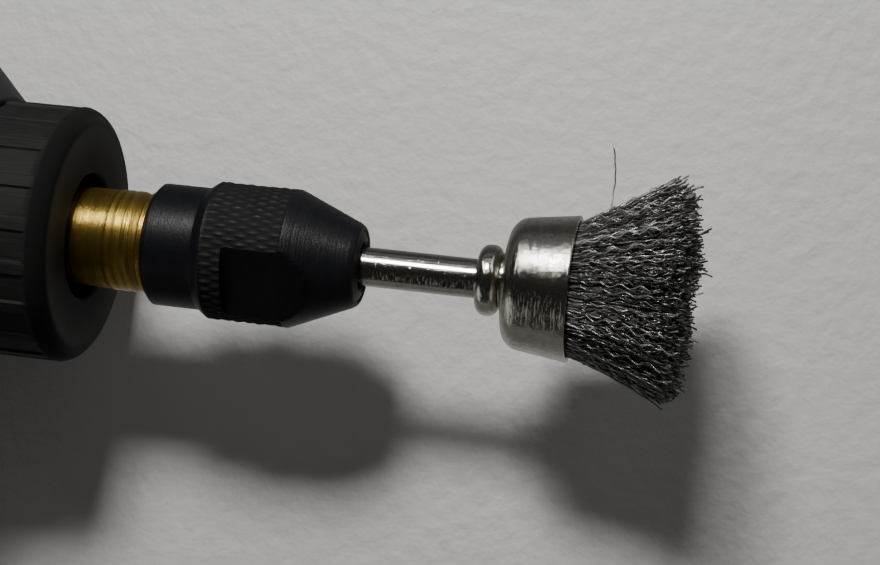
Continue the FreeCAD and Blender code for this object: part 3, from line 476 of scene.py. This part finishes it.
# ---------------------------------------------------------------- nose ring
RIB_COUNT = 19
RING_SIDE = 9.2                         # further out than this is the ring's side
GROOVE_HALF = math.radians(6.6)         # half the width of a groove between two ribs
GROOVE_WALL = math.radians(0.4)
GROOVE_CENTRE = math.radians(-10.0)
GROOVE_DEPTH = 0.18
RUBBED = math.radians(0.6)              # how far the wear spreads from a groove's edge


def ring_relief(s, r, angle):
    """Wide shallow grooves along the side, which run out where the front rounding begins. Also the
    masks of the rubbed groove edges, of the paler front (partly painted reflection) and of the
    painted shade on the rounding.
    """
    period = TAU / RIB_COUNT
    offset = np.abs((angle - GROOVE_CENTRE + period / 2) % period - period / 2)
    inside = 1 - ease(offset, GROOVE_HALF - GROOVE_WALL, GROOVE_HALF + GROOVE_WALL)
    reach = 1 - ease(s, -1.5, -1.2)
    outer = r > RING_SIDE
    cut = inside * reach * outer
    edge = np.exp(-((offset - GROOVE_HALF - GROOVE_WALL) / RUBBED) ** 2) * reach * outer
    patchy = 0.5 + 0.5 * wavy(angle * 3, s, 11, 8)
    wear = np.clip(0.4 * edge * patchy, 0, 1)
    # painted shade on the rounded front edge, weighted to be heaviest on the upper side
    shade_weight_upper_side = 0.25 + 0.75 * ease(np.cos(angle), -0.1, 0.8)
    painted_corner_shade = ease(s, -1.4, -1.1) * ease(r, 8.5, 8.9) * shade_weight_upper_side
    # paler front, lighter towards the rim: partly a smoother moulded finish, partly painted
    # reflection of the lit sheet
    face_and_painted_sheen = ease(s, -0.3, -0.05) * ease(r, 5.4, 8.7)
    return r - GROOVE_DEPTH * cut, {"wear": wear, "face_and_painted_sheen": face_and_painted_sheen, "painted_corner_shade": painted_corner_shade}


ring_outline = soften([
    (-7.0, 7.85), (-6.8, 7.65), (-1.5, 7.65), (-1.5, 4.9), (0, 4.9, 0.3), (0, 10.0, 1.3),
    (-7.0, 10.0, 0.3),
], 9)
ring_outline = refine(ring_outline, 0.28, -7.0, 0.0)
lathe("nose_ring_turned", "ring", "nose_ring", "ring_plastic", ring_outline, 900, ring_relief)


# ---------------------------------------------------------------- brass spindle
PITCH = 0.75
SPINDLE_SIDE = 3.5
THREAD_DEPTH = 0.42
FAINT_DEPTH = 0.045
RELIEF_DEPTH = 0.16


def spindle_relief(s, r, angle):
    """From the ring forward: smooth, faint turns, a relief groove beside the nut, full thread."""
    outer = r > SPINDLE_SIDE
    phase = (s / PITCH + angle / TAU) % 1.0
    tooth = np.clip((np.abs(phase - 0.5) * 2 - 0.16) / 0.74, 0, 1)
    full = ease(s, 5.3, 6.0) * (1 - ease(s, 14.0, 14.4)) * outer
    faint = ease(s, 2.3, 2.7) * (1 - ease(s, 4.4, 4.7)) * outer
    relief = ease(s, 4.35, 4.6) * (1 - ease(s, 5.0, 5.15)) * outer
    depth = THREAD_DEPTH * tooth * full + FAINT_DEPTH * ease(tooth, 0, 1) * faint
    depth = depth + RELIEF_DEPTH * relief
    # dark mask: grime in the thread's hollows; in the relief groove beside the nut it is painted
    # shade
    hollow_grime_and_shade = np.clip(tooth * full + 0.28 * tooth * faint + 0.75 * relief, 0, 1)
    return r - depth, {"hollow_grime_and_shade": hollow_grime_and_shade}


spindle_outline = soften([
    (-10.5, 1.16), (-10.5, 3.85, 0.4), (2.3, 3.85), (2.6, 3.925), (14.2, 3.925), (14.5, 3.6),
    (14.5, 2.75), (13.9, 2.2), (3.5, 2.2), (3.5, 1.6), (0.5, 1.6), (-0.6, 1.16),
])
spindle_outline = refine(spindle_outline, 0.05, 2.2, 14.3)
lathe("brass_spindle_turned", "rotor", "brass_spindle", "brass", spindle_outline, 160,
      spindle_relief)


# ---------------------------------------------------------------- collet nut
NUT_SIDE = 2.9
NUT_RADIUS = 5.35
TEETH = 48
KNURL_AXIAL = 1.7                       # length of a knurl diamond along the axis
KNURL_DEPTH = 0.12
FLAT_DISTANCE = 4.4                     # spanner flats, from the axis
FLAT_REAR = 12.2
FLAT_ANGLE = math.radians(-32.5)


def nut_relief(s, r, angle):
    """Worn diamond knurl: rounded lens-shaped crests of uneven height, staggered row by row."""
    outer = r > NUT_SIDE
    band = ease(s, 10.35, 10.8) * (1 - ease(s, 16.3, 16.7)) * outer
    turn = TEETH * angle / TAU
    uneven = 0.07 * wavy(angle, s, 5, 6, 0.3)
    first = turn + s / KNURL_AXIAL + uneven
    second = turn - s / KNURL_AXIAL - uneven
    left = 0.5 - 0.5 * np.cos(TAU * first)
    right = 0.5 - 0.5 * np.cos(TAU * second)
    crest = (left * right) ** 0.75
    row = np.floor(first).astype(int) % TEETH
    column = np.floor(second).astype(int) % TEETH
    uneven_height = np.random.default_rng(17).uniform(0.55, 1.0, (TEETH, TEETH))[row, column]
    shaped = r - KNURL_DEPTH * (1 - crest * uneven_height) * band
    from_flat = (angle - FLAT_ANGLE + math.pi / 2) % math.pi - math.pi / 2
    chord = FLAT_DISTANCE / np.maximum(np.cos(from_flat), 0.2)
    on_flat = (s > FLAT_REAR) & (chord < shaped) & outer
    shaped = np.where(on_flat, chord, shaped)
    patchy = 0.65 + 0.35 * wavy(angle * 2, s * 2, 3, 8)
    rubbed = 0.05 + 1.1 * (crest * uneven_height) ** 1.3
    wear = np.clip(rubbed * band * patchy, 0, 1) * ~on_flat
    turned = (0.4 + 0.6 * (s > 16.5)) * ~on_flat * (1 - band)
    return shaped, {"wear": wear, "turned": turned, "matt": band * ~on_flat}


nut_outer = soften([
    (22.0, 2.75, 0.12), (21.75, 3.1, 0.25), (21.45, 3.3, 0.2), (16.62, NUT_RADIUS, 0.25),
    (10.5, NUT_RADIUS, 0.15), (9.66, 4.735, 0.12), (6.0, 4.735, 0.15), (5.5, 4.15, 0.1),
], 5)
nut_outer = refine(nut_outer, 0.11, 10.4, 16.8)
nut_outer = refine(nut_outer, 0.45, 5.5, 22.0)
# two rows close together make the shoulder at the flats' rear end a crisp step
nut_outer = [p for p in nut_outer if not abs(p[0] - FLAT_REAR) < 0.03]
split = next(i for i, p in enumerate(nut_outer) if p[0] < FLAT_REAR)
nut_outer[split:split] = [(FLAT_REAR + 0.006, NUT_RADIUS), (FLAT_REAR - 0.02, NUT_RADIUS)]
nut_inner = [(5.5, 4.02), (5.7, 3.97), (15.4, 3.97), (16.3, 2.77), (18.0, 2.27), (18.9, 2.27),
             (20.4, 1.8), (21.7, 1.8), (21.85, 1.86), (22.0, 2.05)]
lathe("collet_nut_knurled", "nut", "collet_nut", "black_steel", nut_outer + nut_inner, 720,
      nut_relief)


# ---------------------------------------------------------------- brush shank, bead, washer, cup
CUP_SIDE = 4.2


def smooth_plate(s, r, angle):
    return r, {"mottle": np.full_like(r, 0.2)}


lathe("brush_shank_turned", "tool", "brush_shank", "nickel_plate", refine(soften([
    (6.0, 0.02), (6.0, 1.5, 0.3), (33.5, 1.5), (33.5, 2.4), (34.2, 2.4, 0.4), (34.2, 0.02),
]), 2.0), 96, smooth_plate, closed=False)

lathe("brush_bead_turned", "tool", "brush_bead", "nickel_plate", soften([
    (30.9, 1.51), (30.9, 2.7, 0.78), (32.65, 2.7, 0.78), (32.65, 1.51),
], 10), 128, smooth_plate)

lathe("brush_washer_turned", "tool", "brush_washer", "nickel_plate", soften([
    (32.66, 1.51), (32.66, 2.2, 0.14), (33.09, 2.2, 0.14), (33.09, 1.51),
], 5), 96, smooth_plate)


def cup_relief(s, r, angle):
    """Slightly out of round towards the mouth, as a pressed cup is."""
    uneven = 0.02 * wavy(angle, s, 21, 7, 0.4) * ease(s, 34.0, 38.0)
    return r + uneven * (r > CUP_SIDE), {"mottle": np.ones_like(r)}


cup_outline = soften([
    (33.1, 1.52), (33.1, 4.85, 1.5), (37.75, 5.47, 0.3), (38.2, 5.56, 0.15), (38.2, 5.16, 0.12),
    (37.6, 5.05, 0.2), (33.5, 4.45, 1.1), (33.5, 1.52),
], 9)
lathe("brush_cup_drawn", "tool", "brush_cup", "nickel_plate", refine(cup_outline, 0.3), 192,
      cup_relief)


# ---------------------------------------------------------------- crimped wires
WIRES = 3600
WIRE_RADIUS = 0.066
MOUTH = 38.2                            # station of the cup's rim
MOUTH_RADIUS = 5.0
SUNK = 1.6                              # length of a wire inside the cup
TUFTS = 46
STEPS = 26                              # points along a wire
SIDES = 4                               # so that a wire's end caps are quads like its sides
rng = np.random.default_rng(7)


def tubes(paths, radius):
    """Vertices and faces of thin tubes. paths is (wires, points, 3) in mm about the axis."""
    wires, points, _ = paths.shape
    tangent = np.gradient(paths, axis=1)
    tangent /= np.linalg.norm(tangent, axis=2, keepdims=True)
    helper = np.zeros_like(tangent)
    helper[..., 2] = 1.0
    side = np.cross(tangent, helper)
    side /= np.linalg.norm(side, axis=2, keepdims=True)
    upper = np.cross(side, tangent)
    turn = np.arange(SIDES) * TAU / SIDES
    ring = (side[:, :, None, :] * np.cos(turn)[None, None, :, None]
            + upper[:, :, None, :] * np.sin(turn)[None, None, :, None])
    co = paths[:, :, None, :] + ring * radius
    index = np.arange(wires * points * SIDES).reshape(wires, points, SIDES)
    onward = np.roll(index, -1, axis=2)
    quads = np.stack([index[:, :-1], onward[:, :-1], onward[:, 1:], index[:, 1:]], -1)
    caps = np.concatenate([index[:, 0, ::-1], index[:, -1, :]])
    return co.reshape(-1, 3), np.concatenate([quads.reshape(-1, 4), caps])


def strand_paths(count):
    """Wires spread over the cup's mouth, leaning outward, gathered into tufts, each crimped."""
    mouth_r = np.sqrt(rng.uniform(1.5 ** 2, MOUTH_RADIUS ** 2, count))
    outer_share = rng.random(count) < 0.35
    mouth_r = np.where(outer_share, rng.uniform(4.3, 5.02, count), mouth_r)
    phi = rng.uniform(0, TAU, count)
    centre = (np.round(phi / TAU * TUFTS + rng.uniform(-0.9, 0.9, count)) / TUFTS) * TAU
    gather = rng.uniform(0.0, 0.4, count)
    tip_phi = phi + (centre - phi) * gather + rng.normal(0, 0.035, count)
    lean = np.radians(19.8 + 3.6 * np.sin(phi)) * (mouth_r / MOUTH_RADIUS) ** 1.1
    lean = lean + rng.normal(0, math.radians(1.7), count)
    shorter = np.clip(np.degrees(lean) - 7.0, 0, 22) * 0.122
    level = np.sin(phi) * mouth_r / MOUTH_RADIUS
    length = 8.75 + 0.55 * level + 0.9 * level ** 2 - shorter + rng.normal(0, 0.24, count)
    longer = rng.random(count) < 0.05
    length = np.where(longer, length + rng.uniform(0.2, 0.9, count), length)
    t = np.linspace(0, 1, STEPS)[None, :]
    run = (length[:, None] + SUNK) * t - SUNK
    out = np.clip(run, 0, None)
    curl = rng.normal(0, 0.005, count)[:, None] * out ** 2
    s = MOUTH + np.where(run < 0, run, out * np.cos(lean)[:, None])
    radius = mouth_r[:, None] * np.where(run < 0, 1 + 0.02 * run, 1.0)
    early = (1.03 + 0.19 * np.sin(phi))[:, None] * out
    late = (0.004 + 0.02 * np.sin(phi))[:, None] * out ** 2
    radius = radius + (early - late) * np.sin(lean)[:, None] + curl
    share = np.clip(out / length[:, None], 0, 1)
    around = phi[:, None] + (tip_phi - phi)[:, None] * share
    wave = rng.uniform(1.35, 1.95, count)[:, None]
    size = rng.uniform(0.08, 0.2, count)[:, None] * np.clip(out, 0.3, 1.2)
    phase = rng.uniform(0, TAU, count)[:, None]
    plane = rng.uniform(0, TAU, count)[:, None]
    crimp = size * np.sin(TAU * run / wave + phase)
    radius = radius + crimp * np.cos(plane)
    shift = crimp * np.sin(plane)
    y = radius * np.sin(around) + shift * np.cos(around)
    z = radius * np.cos(around) - shift * np.sin(around)
    return np.stack([s, y, z], -1)


def wire_piece(name, paths, tones, radius=WIRE_RADIUS):
    co, faces = tubes(paths, radius)
    co = co * MM + np.array([X_SHIFT * MM, 0, AXIS_Z])
    mesh = bpy.data.meshes.new(name)
    mesh.from_pydata(co.tolist(), [], faces.tolist())
    store(mesh, "strand", np.repeat(tones, paths.shape[1] * SIDES))
    settle(name, mesh, "tool", "brush_wires", "wire_steel", 180.0)


strands = strand_paths(WIRES)
strand_tones = rng.random(WIRES) ** 2.4
WIRE_PIECES = ("wires_first", "wires_second", "wires_third", "wires_fourth")
for part, name in enumerate(WIRE_PIECES):
    share = slice(part, None, len(WIRE_PIECES))
    wire_piece(name, strands[share], strand_tones[share])

# the one stray wire, standing square out of the bundle
stray = np.array([
    (39.9, 4.5, 1.6), (40.12, 5.1, 1.2), (40.24, 5.7, 0.8), (40.28, 6.3, 0.5), (40.3, 6.95, 0.3),
    (40.27, 7.6, 0.1), (40.33, 8.2, 0.0), (40.26, 8.8, 0.05), (40.27, 9.2, 0.1), (40.14, 9.7, 0.0),
    (40.08, 10.3, 0.0), (39.98, 10.7, 0.1), (39.9, 10.85, 0.1),
])
wire_piece("wires_stray", stray[None, :, :], np.array([0.25]), 0.055)


# ---------------------------------------------------------------- stage
def paper():
    """Plain pale sheet with a soft tooth."""
    m = Shader("paper", Roughness=0.55)
    tooth = m.noise(620, 3.0, 0.5)
    fibre = m.noise(2400, 4.0, 0.6)
    cloud = m.spread(m.noise(25, 3.0), 0.3, 0.7)
    color = m.mix(cloud, (0.62, 0.62, 0.605), (0.67, 0.67, 0.655))
    normal = m.bump(tooth, 1.0, 0.00022)
    return m.finish(color, m.bump(fibre, 0.6, 0.00005, normal))


def floor(size):
    """The sheet, kept out of reflections: what gloss sees below the model is the world's."""
    mesh = bpy.data.meshes.new("floor")
    mesh.from_pydata([(-size, -size, 0), (size, -size, 0), (size, size, 0), (-size, size, 0)],
                     [], [(0, 1, 2, 3)])
    obj = bpy.data.objects.new("floor", mesh)
    bpy.context.scene.collection.objects.link(obj)
    obj.data.materials.append(paper())
    obj.visible_glossy = False


def area_light(name, location, target, size, power, color):
    data = bpy.data.lights.new(name, "AREA")
    data.shape = "RECTANGLE"
    data.size, data.size_y = size
    data.energy = power
    data.color = color
    obj = bpy.data.objects.new(name, data)
    bpy.context.scene.collection.objects.link(obj)
    obj.location = location
    obj.rotation_euler = (Vector(target) - Vector(location)).to_track_quat("-Z", "Y").to_euler()
    obj.visible_camera = False
    return obj


def from_target(distance, way):
    """A point so far from the target, in the direction given."""
    return Vector(target) + distance * Vector(way).normalized()


floor(3.0)
target = place(18, 0, 0)                # on the nut's cone
KEY_WAY = (-0.13, 0.85, 1.0)
WARM = (1, 0.985, 0.96)

# the near key throws the soft shadow; the far one, on the same side, lights the sheet evenly
area_light("key_near", from_target(0.15, KEY_WAY), target, size=(0.030, 0.030), power=0.185,
           color=WARM)
sun = bpy.data.lights.new("key_far", "SUN")
sun.energy = 0.9
sun.angle = math.radians(10)
sun.color = WARM
key_far = bpy.data.objects.new("key_far", sun)
bpy.context.scene.collection.objects.link(key_far)
key_far.rotation_euler = Vector(KEY_WAY).to_track_quat("Z", "Y").to_euler()
area_light("window", from_target(0.40, (0.0, 0.90, 0.42)), target, size=(0.5, 0.09),
           power=0.05, color=(0.86, 0.93, 1.0))
fill = area_light("fill", (target[0], 0, 0.8), target, size=(0.8, 0.8), power=0.13,
                  color=(1, 0.95, 0.9))
fill.visible_glossy = False

# two softboxes beside the housing, for the other views
housing_middle = place(-35, 0, 0)
for name, way in (("side_left", (-0.68, -0.66, 0.32)), ("side_right", (0.70, 0.64, 0.30))):
    stand = Vector(housing_middle) + 0.5 * Vector(way)
    area_light(name, stand, housing_middle, size=(0.34, 0.3), power=0.2, color=(1, 0.97, 0.93))

# The world that gloss sees round the model: a dim room, paler at eye level, over a floor that is
# brightest straight below and darker on the lamp's side.
world = bpy.data.worlds.new("studio")
world.use_nodes = True
sky = world.node_tree


def remap(value, low, high, to_low, to_high):
    """Smooth step from to_low to to_high, each a number or a socket."""
    made = sky.nodes.new("ShaderNodeMapRange")
    made.interpolation_type = "SMOOTHSTEP"
    sky.links.new(value, made.inputs["Value"])
    for socket, number in (("From Min", low), ("From Max", high)):
        made.inputs[socket].default_value = number
    for socket, number in (("To Min", to_low), ("To Max", to_high)):
        if isinstance(number, bpy.types.NodeSocket):
            sky.links.new(number, made.inputs[socket])
        else:
            made.inputs[socket].default_value = number
    return made.outputs["Result"]


coords = sky.nodes.new("ShaderNodeTexCoord")
axes = sky.nodes.new("ShaderNodeSeparateXYZ")
sky.links.new(coords.outputs["Generated"], axes.inputs[0])
ahead, upward = axes.outputs[1], axes.outputs[2]
overhead = remap(upward, 0.0, 0.3, 0.17, 0.018)
beside = remap(ahead, -0.5, 0.6, 0.13, 0.05)
under = remap(ahead, -0.5, 0.6, 0.34, 0.2)
below = remap(upward, -0.97, -0.3, under, beside)
room = remap(upward, -0.08, 0.0, below, overhead)
background = sky.nodes["Background"]
background.inputs["Color"].default_value = (1, 0.99, 0.97, 1)
sky.links.new(room, background.inputs["Strength"])
bpy.context.scene.world = world

# ---------------------------------------------------------------- camera, fitted to the photo
camera = bpy.data.cameras.new("camera")
camera.sensor_width = 36.0
camera.lens = 75.1
camera.clip_start = 0.005
eye = bpy.data.objects.new("camera", camera)
bpy.context.scene.collection.objects.link(eye)
eye.location = place(50.84, -5.04, 136.79)
eye.rotation_euler = (0.0511, 0.1605, 0.1170)
bpy.context.scene.camera = eye
